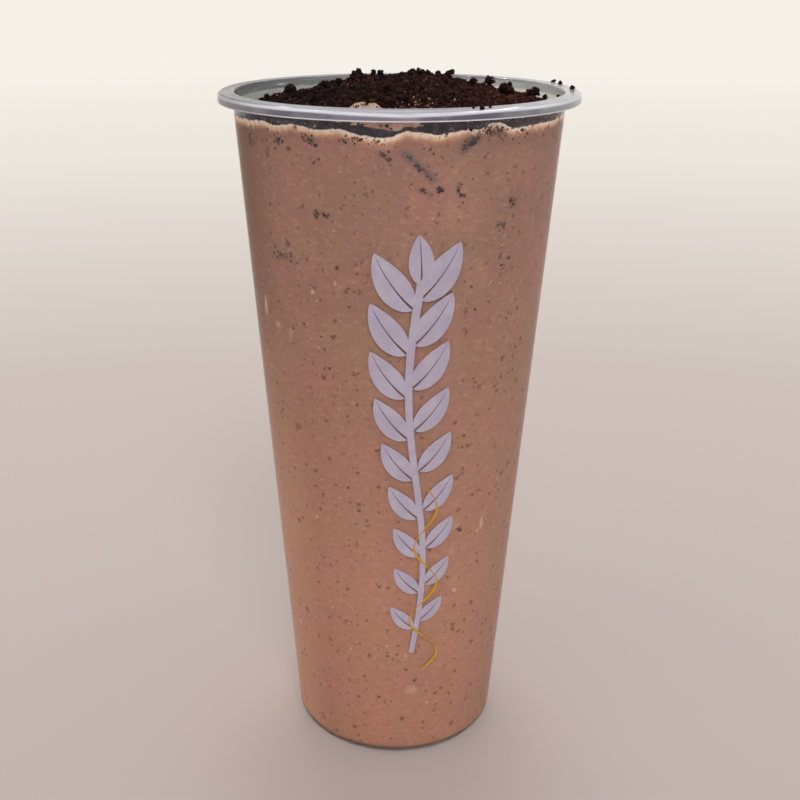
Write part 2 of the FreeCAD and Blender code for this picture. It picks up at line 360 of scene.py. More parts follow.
def rim_material():
    """Milky plastic of the rim, with painted highlights along its rounded outer edge and at the skirt's foot,
    and painted light and shade at its sides.
    """
    nodes = material("rim_plastic")
    across = nodes.attribute("rim_across")
    side = nodes.coordinate(0)
    out = nodes.maths("ABSOLUTE", side)
    # The highlight climbs over the rounded edge towards the sides.
    shifted = nodes.maths("ADD", across, nodes.remap(out, 0.0, 0.020, 0.060, kind="LINEAR"))
    # Across the rim: pale faces, a painted highlight along the outer rounded edge (0.80 to 0.84), and a
    # darker violet skirt below it.
    colour = nodes.ramp(shifted, [
        (0.00, 150, 152, 150), (0.05, 92, 88, 90), (0.10, 112, 106, 110), (0.16, 180, 176, 181),
        (0.50, 172, 172, 178), (0.64, 186, 184, 192), (0.77, 178, 176, 186), (0.80, 240, 239, 248),
        (0.84, 244, 243, 252), (0.87, 152, 147, 160), (0.90, 134, 128, 142), (1.00, 128, 122, 136)])
    # Dark crumbs behind the skirt show through it, and the smear of froth behind it lightens it.
    from_smear = nodes.maths("ABSOLUTE", nodes.maths("ADD", side, 0.005))
    crumbs = nodes.times(nodes.remap(shifted, 0.865, 0.885), nodes.remap(from_smear, 0.006, 0.013, 0.75))
    left = nodes.remap(side, -0.022, -0.044, 0.75)
    on_top = nodes.remap(across, 0.80, 0.70)
    on_skirt = nodes.maths("SUBTRACT", 1.0, on_top)
    colour = nodes.tint(
        colour,
        (crumbs, 92, 88, 101),
        # Painted highlight: a bright line at the skirt's foot. Then painted light on the right side, painted
        # shade on the left flange top and painted light on the left skirt.
        (nodes.remap(across, 0.930, 0.942), 246, 242, 250),
        (nodes.remap(side, 0.022, 0.044, 0.6), 202, 204, 202),
        (nodes.times(left, on_top), 88, 90, 87),
        (nodes.times(left, on_skirt), 162, 158, 154),
        (nodes.remap(nodes.noise(160.0), 0.45, 0.7, 0.2), 198, 200, 202))
    body = nodes.shader(colour, 0.12, {
        "IOR": 1.3, "Transmission Weight": 0.16,
        "Specular IOR Level": nodes.remap(side, -0.044, 0.01, 0.5, 0.06)})
    return nodes.surface(nodes.lit_through(body, (0.8, 0.8, 0.8, 1.0)))


# Kinds of soft specks in the drink: cell and radius in millimetres, share of cells, seed and strength.
PALE_SPECKS = ((6.0, 0.8, 0.3, 5, 0.4), (2.4, 0.34, 0.35, 6, 0.5))
DARK_SPECKS = ((1.8, 0.42, 0.6, 1, 0.6), (2.6, 0.62, 0.7, 2, 0.8), (4.6, 0.95, 0.7, 3, 0.65))
FROTH_SPECKS = ((1.2, 0.5, 0.42, 8, 0.85), (2.2, 0.6, 0.6, 9, 0.85))


def speck_layer(nodes, cell, radius, keep, seed):
    """Soft specks: in a share of the cells of this size there is a spot of up to this radius."""
    apart = {0: nodes.place(), 1: (seed * 0.37, seed * 0.19, seed * 0.53)}
    moved = nodes.add("ShaderNodeVectorMath", apart, operation="ADD").outputs[0]
    wander = nodes.add("ShaderNodeTexNoise", {"Vector": moved, "Scale": 1.1 / (radius * MM), "Detail": 2.0})
    ragged = {0: wander.outputs["Color"], 1: (radius * MM * 1.8,) * 3, 2: moved}
    shifted = nodes.add("ShaderNodeVectorMath", ragged, operation="MULTIPLY_ADD").outputs[0]
    cells = nodes.add("ShaderNodeTexVoronoi", {"Vector": shifted, "Scale": 1.0 / (cell * MM)})
    chance = nodes.add("ShaderNodeSeparateColor", {"Color": cells.outputs["Color"]})
    present = nodes.remap(chance.outputs[0], 1.0 - keep, 1.0, kind="LINEAR")
    size = nodes.times(nodes.maths("SQRT", present), radius / cell)
    near = nodes.maths("SUBTRACT", size, cells.outputs["Distance"])
    return nodes.remap(near, -0.05 * radius / cell, 0.38 * radius / cell)


def specked(nodes, colour, kinds, *shade):
    """The colour with several kinds of specks in one shade."""
    for *kind, strength in kinds:
        colour = nodes.tint(colour, (nodes.times(speck_layer(nodes, *kind), strength), *shade))
    return colour


def body_colour(nodes):
    """Speckled cocoa brown, paler and warmer low down, with olive and pink clouds, painted shade at the foot
    and painted light and shade at the sides.
    """
    height = nodes.attribute("height_share")
    # The dark band at the very foot (up to 0.019) is painted shade; above it the drink is paler and warmer
    # low down.
    body = nodes.ramp(height, [
        (0.000, 112, 88, 78), (0.014, 124, 95, 83), (0.019, 142, 100, 83), (0.026, 145, 100, 82),
        (0.300, 148, 105, 87), (0.550, 134, 97, 82), (0.750, 124, 91, 79), (1.000, 119, 88, 78)])
    olive = nodes.noise(48.0, 3.0, 0.55, distortion=0.6)
    pink = nodes.noise(62.0, 3.0, 0.55, distortion=0.4)
    radius = nodes.maths("MULTIPLY_ADD", nodes.coordinate(2), SLOPE, BASE_RADIUS * MM)
    side = nodes.maths("DIVIDE", nodes.coordinate(0), radius)
    high = nodes.remap(height, 0.55, 0.9)
    in_front = nodes.remap(nodes.coordinate(1), 0.012, -0.006)
    # Masks of painted light and shade at the sides.
    high_left = nodes.times(nodes.remap(side, -0.72, -1.0, 0.95), high)
    low_left = nodes.times(nodes.remap(side, -0.6, -0.98, 0.75), nodes.remap(height, 0.72, 0.32))
    low_right = nodes.times(nodes.remap(side, 0.3, 0.95, 0.45), nodes.maths("SUBTRACT", 1.0, high))
    mottle = nodes.noise(520.0, 4.0, 0.65, vector=nodes.flattened(1.8))
    fine = nodes.noise(2100.0, rough=0.6, vector=nodes.flattened(2.4))
    body = nodes.tint(
        body,
        (nodes.remap(olive, 0.46, 0.68, 0.4), 132, 103, 82),
        (nodes.remap(pink, 0.45, 0.68, 0.42), 144, 96, 88),
        # Painted shade at the upper left edge, painted light low on the left, painted shade low on the right.
        (nodes.times(high_left, in_front), 92, 58, 30),
        (low_left, 170, 127, 101),
        (low_right, 138, 105, 89),
        (nodes.remap(mottle, 0.5, 0.75, 0.28), 176, 138, 118),
        (nodes.remap(mottle, 0.5, 0.27, 0.32), 120, 84, 72),
        (nodes.remap(fine, 0.56, 0.78, 0.3), 186, 150, 130))
    body = specked(nodes, body, PALE_SPECKS, 198, 168, 146)
    body = nodes.tint(body, (nodes.times(nodes.attribute("pale_patch"), 0.8), 188, 164, 140))
    return specked(nodes, body, DARK_SPECKS, 84, 60, 50)


def froth_colour(nodes, below):
    """A pale bubbly lip that turns peach below it."""
    bubbly = nodes.maths("MULTIPLY_ADD", nodes.noise(750.0, rough=0.6), 2.2, -1.45)
    uneven = nodes.maths("DIVIDE", nodes.maths("ADD", below, bubbly), 3.0)
    froth = nodes.ramp(uneven, [
        (0.00, 206, 188, 170), (0.12, 198, 172, 150), (0.24, 186, 150, 126), (0.34, 170, 124, 98),
        (0.55, 156, 112, 92), (1.00, 140, 102, 88)])
    bubbles = nodes.noise(1500.0, rough=0.6)
    froth = nodes.tint(froth, (nodes.remap(bubbles, 0.52, 0.3, 0.45), 146, 110, 90))
    return specked(nodes, froth, FROTH_SPECKS, 78, 54, 44)


def shake_material():
    """The drink: froth at the top, cocoa brown below it, and dark stains where cookie lies at the wall."""
    nodes = material("shake")
    below = nodes.attribute("below_froth")
    colour = nodes.mix(nodes.remap(below, 0.9, 2.6), froth_colour(nodes, below), body_colour(nodes))
    streaked = nodes.maths("MULTIPLY_ADD", nodes.noise(1300.0, rough=0.6), 1.5, nodes.attribute("stain"))
    colour = nodes.tint(colour, (nodes.remap(streaked, 0.80, 1.75, 0.85), 84, 72, 78))
    normal = nodes.bump(nodes.noise(900.0, rough=0.6), 0.3, 0.0002)
    gloss = {"IOR": 1.4, "Specular IOR Level": 0.2, "Normal": normal}
    return nodes.surface(nodes.shader(colour, 0.55, gloss))


def crumb_material():
    """Dry dark biscuit crumbs. Each grain has its own shade, which also carries painted light, and what lies
    behind the wall is greyer.
    """
    nodes = material("biscuit_crumbs")
    # A grain's shade is its own tone plus painted light towards the right; shade 1 gives pale painted glints.
    colour = nodes.ramp(nodes.attribute("shade"), [
        (0.00, 16, 7, 6), (0.45, 44, 19, 14), (0.78, 76, 37, 28), (0.94, 98, 56, 45), (1.00, 176, 134, 120)])
    grain = nodes.noise(1700.0, 4.0, 0.65)
    colour = nodes.tint(colour, (nodes.remap(grain, 0.4, 0.68, 0.65), 20, 8, 7))
    haze = nodes.ramp(nodes.noise(380.0, 4.0, 0.65), [
        (0.34, 12, 8, 13), (0.48, 26, 18, 26), (0.60, 70, 58, 70), (0.74, 128, 110, 110)])
    # Painted light: the crumbs behind the wall are lighter and browner on the right.
    haze = nodes.tint(haze, (nodes.remap(nodes.coordinate(0), 0.014, 0.03, 0.5), 104, 84, 80))
    colour = nodes.mix(nodes.times(nodes.attribute("behind_wall"), 0.8), colour, haze)
    normal = nodes.bump(grain, 0.6, 0.0003)
    return nodes.surface(nodes.shader(colour, 0.8, {"Specular IOR Level": 0.03, "Normal": normal}))


def fleck_material():
    """Cookie flecks in the drink, seen through a film of it."""
    nodes = material("cookie_flecks")
    colour = nodes.ramp(nodes.attribute("shade"), [
        (0.00, 46, 34, 34), (0.30, 72, 52, 46), (0.65, 106, 77, 65), (1.00, 130, 95, 81)])
    colour = nodes.tint(colour, (nodes.remap(nodes.noise(2500.0), 0.4, 0.7, 0.4), 70, 52, 46))
    return nodes.surface(nodes.shader(colour, 0.6, {"Specular IOR Level": 0.15}))


def droplet_material():
    """Tiny drops and bubbles on the inside of the wall."""
    nodes = material("droplets")
    colour = nodes.tint(linear(196, 196, 204), (nodes.remap(nodes.noise(900.0), 0.4, 0.6), 150, 142, 146))
    return nodes.surface(nodes.shader(colour, 0.1, {}))


def ink_material(name, colour, paler):
    """Printed ink with the slight unevenness of a screen print."""
    nodes = material(name)
    tone = nodes.mix(nodes.remap(nodes.noise(260.0, 4.0, 0.6), 0.35, 0.7), colour, paler)
    normal = nodes.bump(nodes.noise(3000.0), 0.08, 0.0001)
    return nodes.surface(nodes.shader(tone, 0.5, {"Specular IOR Level": 0.3, "Normal": normal}))


WALL_PLASTIC = plastic("clear_plastic", (0.985, 0.99, 0.985, 1.0), 1.0, 0.04, 1.04)
# The milky part above the froth, as the azimuth from which on it is used, to either side. Towards the back
# the copies are less clear and show more of their pale colour, painted light from behind, and the back ones
# have a painted shade on the left.
MILKY_PLASTIC = [
    (0.0, plastic("milky_front", linear(216, 214, 219), 0.94, 0.08, 1.12)),
    (62.0, plastic("milky_side", linear(206, 206, 208), 0.86, 0.08, 1.12)),
    (80.0, plastic("milky_rear_side", linear(216, 217, 214), 0.76, 0.08, 1.12, linear(194, 196, 194))),
    (98.0, plastic("milky_back", linear(220, 221, 216), 0.66, 0.08, 1.12, linear(168, 171, 168))),
]
RIM_PLASTIC = rim_material()
DROPLETS = droplet_material()
SHAKE = shake_material()
CRUMBS = crumb_material()
FLECKS = fleck_material()
LILAC_INK = ink_material("lilac_ink", linear(178, 166, 186), linear(190, 178, 194))
GOLDEN_INK = ink_material("golden_ink", linear(204, 152, 40), linear(188, 138, 46))


# ---- cup ----

def rim_across(radii, levels):
    """How far over the rim a point lies: 0 on the inside, 0.7 at the outer edge, 0.97 at the skirt's foot."""
    mouth = inner_radius(CUP_HEIGHT)
    drops = CUP_HEIGHT - levels
    over = 0.05 + 0.65 * np.clip((radii - mouth) / (RIM_RADIUS - mouth), 0.0, 1.0)
    down = 0.70 + 0.27 * np.clip(drops / SKIRT_DEPTH, 0.0, 1.0)
    inside = (radii < mouth + 0.05) & (drops > MOUTH_ROUND)
    return np.where(inside, 0.0, np.where((radii > RIM_RADIUS - 0.35) & (drops > 0.3), down, over))


def ribbed(outline, rings=4, half_width=0.13, depth=0.07):
    """The outline with fine rings pressed into the flange's flat top."""
    flange_in = inner_radius(CUP_HEIGHT) + MOUTH_ROUND
    flange_out = RIM_RADIUS - RIM_ROUND
    width = (flange_out - flange_in) / (rings + 1)
    result = []
    for (radius, level), (_, next_level) in zip(outline, outline[1:] + outline[-1:]):
        result.append((radius, level))
        flat = abs(level - CUP_HEIGHT) < 1e-4 and abs(next_level - CUP_HEIGHT) < 1e-4
        if flat and radius > flange_in + width:
            for ring in range(rings):
                middle = flange_out - width * (ring + 1)
                for aside, sunk in ((half_width, 0.0), (0.0, depth), (-half_width, 0.0)):
                    result.append((middle + aside, level - sunk))
    return result


def make_cup():
    """Wall, floor, ring foot, and a flange that turns down into a skirt. Above the drink it is milky."""
    recess = BASE_RADIUS - CORNER_ROUND - FOOT_RING
    under = CUP_HEIGHT - RIM_THICKNESS
    skirt = CUP_HEIGHT - SKIRT_DEPTH
    outline = rounded([
        (0.0, FOOT_RECESS, 0.0),
        (recess, FOOT_RECESS, 0.0),
        (recess + FOOT_DRAFT, 0.0, 0.0),
        (outer_radius(0.0), 0.0, CORNER_ROUND),
        (outer_radius(FROTH), FROTH, 0.0),
        (outer_radius(under), under, 0.0),
        (RIM_RADIUS - RIM_THICKNESS - SKIRT_DRAFT, under, 0.0),
        (RIM_RADIUS - RIM_THICKNESS, skirt, 0.0),
        (RIM_RADIUS, skirt, SKIRT_ROUND),
        (RIM_RADIUS, CUP_HEIGHT, RIM_ROUND),
        (inner_radius(CUP_HEIGHT), CUP_HEIGHT, MOUTH_ROUND),
        (inner_radius(FROTH), FROTH, 0.0),
        (inner_radius(FLOOR_LEVEL), FLOOR_LEVEL, CORNER_ROUND - WALL),
        (0.0, FLOOR_LEVEL, 0.0),
    ])
    outline = ribbed(divided(outline, 6.0))
    turns = even_turns(360)
    rings = [around(turns, radius, level) for radius, level in outline[1:-1]]
    points = np.concatenate([around(np.zeros(1), *outline[0]), *rings, around(np.zeros(1), *outline[-1])])
    faces = shell_faces(len(turns), len(rings))
    radii = np.hypot(points[:, 0], points[:, 1])
    across = rim_across(radii, points[:, 2])
    # The edge of the milky part follows the froth line.
    on_line = np.abs(points[:, 2] - FROTH) < 1e-3
    levels = froth_level(azimuths_of(points[on_line]))
    radius = radii[on_line] + SLOPE * (levels - FROTH)
    points[on_line, :2] *= (radius / radii[on_line])[:, None]
    points[on_line, 2] = levels
    plastics = [WALL_PLASTIC, RIM_PLASTIC] + [item for _, item in MILKY_PLASTIC]
    cup = new_piece("clear_cup", points, faces, plastics, "cup", attributes={"rim_across": across})
    milky = on_line | (points[:, 2] > FROTH + 1e-3)
    rim = (points[:, 2] > under - 0.01) | (radii > outer_radius(CUP_HEIGHT) + 0.2)
    # Each milky face takes the copy for its azimuth, so the painted light and shade of those copies go round
    # the cup.
    zones = 1 + sum((np.abs(azimuths_of(points)) >= start).astype(int) for start, _ in MILKY_PLASTIC)
    slots = [1 if rim[face].all() else zones[face[0]] if milky[face].all() else 0 for face in faces]
    cup.data.polygons.foreach_set("material_index", slots)
    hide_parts("cup")


# ---- heights read from the frame ----

class Heights:
    """Height of a CAD node's top over the plan."""

    def __init__(self, node):
        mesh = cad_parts[node].data
        points = [vertex.co for vertex in mesh.vertices]
        self.tree = BVHTree.FromPolygons(points, [list(face.vertices) for face in mesh.polygons])

    def at(self, x, y, missing):
        """Level in millimetres, or the given one where the node isn't."""
        above = Vector((x * MM, y * MM, 0.3))
        hit = self.tree.ray_cast(above, Vector((0, 0, -1)))
        return missing if hit[0] is None else hit[0].z / MM

    def grid(self, xs, ys, missing):
        return np.array([self.at(x, y, missing) for x, y in zip(xs, ys)])


SHAKE_TOP = Heights("milkshake")
HEAP_TOP = Heights("crumb_topping")

# The mound of froth against the front wall stands a little out of the CAD node: place, spread and lift.
MOUND_X, MOUND_Y = -7.9, -34.5
MOUND_ACROSS, MOUND_ALONG = 5.2, 3.4
MOUND_LIFT = 0.9


def shake_level(x, y):
    """Top of the drink over an array of plan positions."""
    distance = ((x - MOUND_X) / MOUND_ACROSS) ** 2 + ((y - MOUND_Y) / MOUND_ALONG) ** 2
    return SHAKE_TOP.grid(x, y, FROTH) + MOUND_LIFT * np.exp(-distance)


def froth_level(azimuths):
    """Level of the froth line at an array of azimuths."""
    azimuths = wrapped(np.asarray(azimuths, float))
    turns = np.radians(azimuths)
    ring = np.stack([np.sin(turns), np.cos(turns)], axis=1) * inner_radius(CUP_HEIGHT)
    wandering = FROTH_DROP + 0.55 * lattice_noise(ring, 9.0, 21)
    known = np.array(FROTH_LINE, float)
    fine = np.linspace(known[0, 0], known[-1, 0], 265)
    line = np.interp(fine, known[:, 0], known[:, 1])
    kernel = np.hanning(9)
    smooth = np.convolve(np.pad(line, 4, mode="edge"), kernel / kernel.sum(), "valid")
    front = np.interp(azimuths, fine, smooth)
    share = np.clip((np.abs(azimuths) - 60.0) / 8.0, 0.0, 1.0)
    drop = front * (1.0 - share) + wandering * share
    return CUP_HEIGHT - (drop + 0.22 * layered_noise(ring, 2.4, 31, 4) + 0.14 * lattice_noise(ring, 1.0, 37))


# ---- milkshake ----

# Clusters of flecks, as azimuth, level, spread across, spread up, flecks and fleck size.
CLUSTERS = [
    (12.4, 162, 0.6, 0.5, 6, 0.36), (19.2, 161, 1.1, 1.2, 7, 0.34), (40.6, 158, 0.8, 1.4, 6, 0.34),
    (36, 152.5, 1, 0.8, 4, 0.34), (-47, 144, 2.6, 0.8, 8, 0.3), (-28.9, 155.7, 0.9, 0.9, 7, 0.32),
    (-61.5, 170, 0.8, 1.2, 8, 0.34), (-44.3, 171.6, 0.8, 1, 9, 0.36), (-32, 172.8, 1.4, 0.8, 12, 0.34),
    (8.6, 171, 0.9, 0.5, 5, 0.32), (30.5, 174.6, 3.4, 1.2, 95, 0.22), (-15, 172.9, 5, 0.5, 34, 0.27),
    (43, 173.6, 4, 0.8, 26, 0.26), (-4.5, 170, 1, 1.3, 8, 0.34), (60, 173, 5, 1, 16, 0.26),
    (-58, 171.5, 6, 1, 16, 0.26),
]
# Dark stains, each along a line from azimuth and level to azimuth and level, with its width and strength.
STAINS = [
    (0.5, 170.4, 9.9, 164.4, 1.1, 0.85), (19.4, 170.9, 24.2, 173.4, 1.4, 1),
    (40, 158.8, 41.4, 157, 1.2, 0.6), (35, 152.8, 38, 152.4, 1.1, 0.5),
    (-31.5, 173, -28.5, 171.8, 1.3, 0.5), (-44.3, 172, -43.6, 171, 0.8, 0.6),
    (-61.5, 171, -61.8, 169.4, 0.8, 0.6), (17.6, 161.6, 20.6, 160.4, 0.8, 0.5),
    (5.6, 162.4, 8.8, 161.4, 0.7, 0.45), (11.6, 162.2, 13, 161.8, 0.8, 0.55),
    (-7, 170.6, -4, 169, 0.8, 0.5), (-49, 144.2, -45, 144, 1.5, 0.45), (-30.5, 155.8, -25, 155.6, 0.7, 0.5),
    (27, 175, 33.5, 174.6, 1.2, 0.4), (-52, 146, -40, 143, 2.4, 0.3), (30, 149, 46, 141, 5, 0.22),
    (15, 139, 30, 131, 4, 0.18), (150, 150, 160, 146, 1.4, 0.5), (120, 168, 127, 164, 0.9, 0.6),
    (-150, 158, -146, 152, 1.2, 0.5), (-110, 165, -104, 163, 1, 0.6), (95, 120, 99, 112, 1.4, 0.4),
    (-120, 96, -114, 93, 1.3, 0.4), (175, 80, 181, 76, 1.2, 0.4),
]
# Pale patches, as azimuth, level, half width and half height in millimetres, and strength.
PALE_PATCHES = [
    (-63, 129, 0.9, 2.3, 0.8), (-54, 125.5, 1.3, 0.8, 0.5), (-46, 124.5, 0.9, 0.9, 0.35),
    (41.5, 72, 0.6, 1.4, 0.9), (25.5, 74, 1.6, 1, 0.35), (26, 66, 1.4, 0.8, 0.3), (-6, 171.5, 2, 0.5, 0.2),
    (8, 23, 1.6, 0.7, 0.4), (140, 110, 1.4, 2, 0.5), (-130, 60, 1.2, 1.8, 0.5), (100, 50, 1, 1.5, 0.4),
]


def stains_at(azimuths, levels):
    """Strength of the dark stains at points of the drink's side."""
    total = np.zeros(len(levels))
    for start, start_level, end, end_level, width, strength in STAINS:
        middle = (start + end) / 2.0
        radius = outer_radius((start_level + end_level) / 2.0)
        across = np.radians(wrapped(azimuths - middle)) * radius
        half = math.radians(end - middle) * radius
        along = np.array([2.0 * half, end_level - start_level])
        offset = np.stack([across + half, levels - start_level], axis=1)
        share = np.clip(offset @ along / (along @ along), 0.0, 1.0)
        distance = np.linalg.norm(offset - share[:, None] * along, axis=1)
        total = np.maximum(total, strength * np.exp(-(distance / width) ** 2))
    return total


def pale_at(azimuths, levels):
    """Strength of the pale patches at points of the drink's side."""
    total = np.zeros(len(levels))
    for azimuth, level, half_width, half_height, strength in PALE_PATCHES:
        across = np.radians(wrapped(azimuths - azimuth)) * outer_radius(level)
        distance = np.hypot(across / half_width, (levels - level) / half_height)
        total = np.maximum(total, strength * np.clip(1.6 - distance * 1.2, 0.0, 1.0))
    return total


def make_milkshake():
    """The drink from the floor up to its froth line, a little into the wall so that no air shows."""
    steps, rings_up = 560, 134
    far_below = 99.0
    turns = even_turns(steps)
    lines = froth_level(np.degrees(turns))
    floor = FLOOR_LEVEL - BITE
    foot = rounded([
        (0.0, floor, 0.0),
        (inner_radius(FLOOR_LEVEL) + BITE, floor, CORNER_ROUND - WALL),
        (inner_radius(60.0) + BITE, 60.0, 0.0),
    ])[1:-1]
    points = [np.array([[0.0, 0.0, floor]])] + [around(turns, radius, level) for radius, level in foot]
    below = [np.full(len(ring), far_below) for ring in points]
    start = foot[-1][1]
    for ring in range(1, rings_up + 1):
        share = 1.0 - (1.0 - ring / rings_up) ** 1.5
        level = start + (lines - start) * share
        points.append(around(turns, inner_radius(level) + BITE, level))
        below.append(lines - level)
    # The top, in rings at these distances from the wall. Its edge swells into a lip.
    for inset in (0.45, 0.8, *np.arange(1.3, 10.4, 0.6), 11.0, 12.0, 13.5, 17.0, 22.0, 28.0, 34.0):
        plan = around(turns, inner_radius(lines) + BITE - inset, 0.0)[:, :2]
        share = min(inset / 4.0, 1.0)
        level = shake_level(*plan.T) * share + lines * (1.0 - share)
        level = level + 0.22 * math.sin(min(inset, 1.5) / 1.5 * math.pi) - 0.05
        level += 0.4 * layered_noise(plan, 1.6, 47, 3) * min(inset, 1.0)
        points.append(np.column_stack([plan, level]))
        below.append(1.1 + 0.4 * lattice_noise(plan, 1.2, 49))
    faces = shell_faces(steps, len(points) - 1)
    points.append(np.array([[0.0, 0.0, SHAKE_TOP.at(0.0, 0.0, FROTH)]]))
    below.append(np.full(1, 0.3))
    points = np.concatenate(points)
    azimuths, levels = azimuths_of(points), points[:, 2]
    piece = new_piece("milkshake_body", points, faces, SHAKE, "milkshake", attributes={
        "below_froth": np.concatenate(below), "height_share": levels / CUP_HEIGHT,
        "stain": stains_at(azimuths, levels), "pale_patch": pale_at(azimuths, levels)})
    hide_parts("milkshake")


# ---- scattered grains ----

def unit_ball(divisions):
    """Points and triangles of a ball made from an icosahedron."""
    golden = (1.0 + math.sqrt(5.0)) / 2.0
    points = []
    for sign in (-1.0, 1.0):
        for other in (-golden, golden):
            points += [(sign, other, 0.0), (0.0, sign, other), (other, 0.0, sign)]
    points = [Vector(point).normalized() for point in points]
    span = min((points[0] - other).length for other in points[1:])
    triangles = []
    for (i, a), (j, b), (k, c) in itertools.combinations(enumerate(points), 3):
        if max((a - b).length, (b - c).length, (a - c).length) < span * 1.1:
            outward = (b - a).cross(c - a).dot(a) > 0
            triangles.append((i, j, k) if outward else (i, k, j))
    for _ in range(divisions):
        middles = {}
        finer = []
        for i, j, k in triangles:
            between = []
            for pair in ((i, j), (j, k), (k, i)):
                key = tuple(sorted(pair))
                if key not in middles:
                    middles[key] = len(points)
                    points.append((points[key[0]] + points[key[1]]).normalized())
                between.append(middles[key])
            a, b, c = between
            finer += [(i, a, c), (a, j, b), (c, b, k), (a, b, c)]
        triangles = finer
    return np.array([tuple(point) for point in points]), np.array(triangles)


def eight_sides():
    """Points and triangles of the simplest grain, an octahedron."""
    points = np.array([(1, 0, 0), (0, 1, 0), (-1, 0, 0), (0, -1, 0), (0, 0, 1), (0, 0, -1)], float)
    triangles = []
    for side in range(4):
        after = (side + 1) % 4
        triangles += [(side, after, 4), (after, side, 5)]
    return points, np.array(triangles)


def random_turns(generator, count):
    """Random rotation matrices."""
    spins = generator.normal(size=(count, 4))
    spins /= np.linalg.norm(spins, axis=1)[:, None]
    w, x, y, z = spins.T
    rows = [
        [1 - 2 * (y * y + z * z), 2 * (x * y - z * w), 2 * (x * z + y * w)],
        [2 * (x * y + z * w), 1 - 2 * (x * x + z * z), 2 * (y * z - x * w)],
        [2 * (x * z - y * w), 2 * (y * z + x * w), 1 - 2 * (x * x + y * y)],
    ]
    return np.array(rows).transpose(2, 0, 1)


def grains(name, generator, places, sizes, divisions, rough, look, flatten=None, smooth=False, **attributes):
    """One joined mesh of grains at the places. Each is turned, stretched and dented differently.

    Divisions of -1 make octahedra. The look is a material and a slot; the slot is not used. Each attribute
    has a value a grain.
    """
    ball, triangles = unit_ball(divisions) if divisions >= 0 else eight_sides()
    count = len(places)
    stretch = generator.uniform(0.62, 1.38, size=(count, 1, 3))
    dents = 1.0 + rough * generator.uniform(-1.0, 1.0, size=(count, len(ball), 1))
    shapes = np.einsum("nij,nvj->nvi", random_turns(generator, count), ball[None] * dents * stretch)
    shapes *= np.asarray(sizes)[:, None, None]
    if flatten is not None:
        normals, depth = flatten
        along = np.einsum("nvi,ni->nv", shapes, normals)
        shapes -= ((1.0 - depth) * along)[:, :, None] * normals[:, None, :]
    points = (shapes + places[:, None, :]).reshape(-1, 3)
    faces = (triangles[None] + (np.arange(count) * len(ball))[:, None, None]).reshape(-1, 3)
    values = {key: np.repeat(np.broadcast_to(value, count), len(ball)) for key, value in attributes.items()}
    new_piece(name, points, faces.tolist(), *look, smooth, values)


CRUMB_LOOK = (CRUMBS, "crumbs")


def on_wall(azimuths, levels, lift):
    """Points on the inside of the wall, moved outwards by the lift, and the outward directions."""
    turns = np.radians(azimuths)
    return around(turns, inner_radius(levels) + lift, levels), around(turns, 1.0, 0.0)


def make_flecks():
    """Small dark flecks of cookie at the drink's outside, in little families and a few clusters."""
    generator = np.random.default_rng(11)
    families = 1350
    pale_below = 80.0
    members = generator.integers(1, 4, families)
    azimuths = np.repeat(generator.uniform(-180.0, 180.0, families), members)
    levels = np.repeat(3.0 + (FROTH - 4.0) * generator.uniform(0.0, 1.0, families) ** 0.8, members)
    sizes = np.repeat(generator.lognormal(-1.35, 0.42, families), members)
    shades = np.repeat(generator.uniform(0.25, 1.0, families) ** 0.7, members)
    total = len(azimuths)
    flecks = [np.stack([
        azimuths + generator.normal(0.0, 0.5, total), levels + generator.normal(0.0, 0.3, total),
        sizes * generator.uniform(0.5, 1.1, total), shades])]
    for azimuth, level, across, up, number, size in CLUSTERS:
        flecks.append(np.stack([
            generator.normal(azimuth, across, number), generator.normal(level, up, number),
            size * generator.uniform(0.4, 1.2, number), generator.uniform(0.0, 0.6, number)]))
    for start, start_level, end, end_level, width, strength in STAINS:
        number = int(26 * strength)
        share = generator.uniform(0.0, 1.0, number)
        flecks.append(np.stack([
            start + (end - start) * share + generator.normal(0.0, 0.45 * width, number),
            start_level + (end_level - start_level) * share + generator.normal(0.0, 0.3 * width, number),
            generator.uniform(0.1, 0.42, number), generator.uniform(0.0, 0.5, number)]))
    azimuths, levels, sizes, shades = np.concatenate(flecks, axis=1)
    # Low down there are fewer and paler ones.
    low = levels < pale_below
    shades = np.where(low, np.minimum(shades + 0.2, 1.0), shades)
    thinned = low & (generator.uniform(0.0, 1.0, len(levels)) < 0.35)
    keep = (levels < froth_level(azimuths) - 0.3) & ~thinned
    places, outward = on_wall(azimuths, levels, BITE)
    large = sizes > 0.24
    look = (FLECKS, "milkshake")
    for name, chosen, divisions in (("milkshake_flecks", large, 1), ("milkshake_specks", ~large, 0)):
        chosen = chosen & keep
        grains(name, generator, places[chosen], sizes[chosen], divisions, 0.4, look, (outward[chosen], 0.14),
               True, shade=shades[chosen])


# Smears of drink on the inside of the wall above the froth line: azimuth, level, half width, half height.
SMEARS = [
    (-2.6, 176.7, 5.6, 1.15), (-9.5, 176.9, 2.4, 0.8), (-14.5, 176.9, 1.5, 0.7), (-19.5, 177.2, 1.4, 0.4),
    (4, 176.7, 1.4, 0.7), (42, 177.1, 2, 0.35),
]


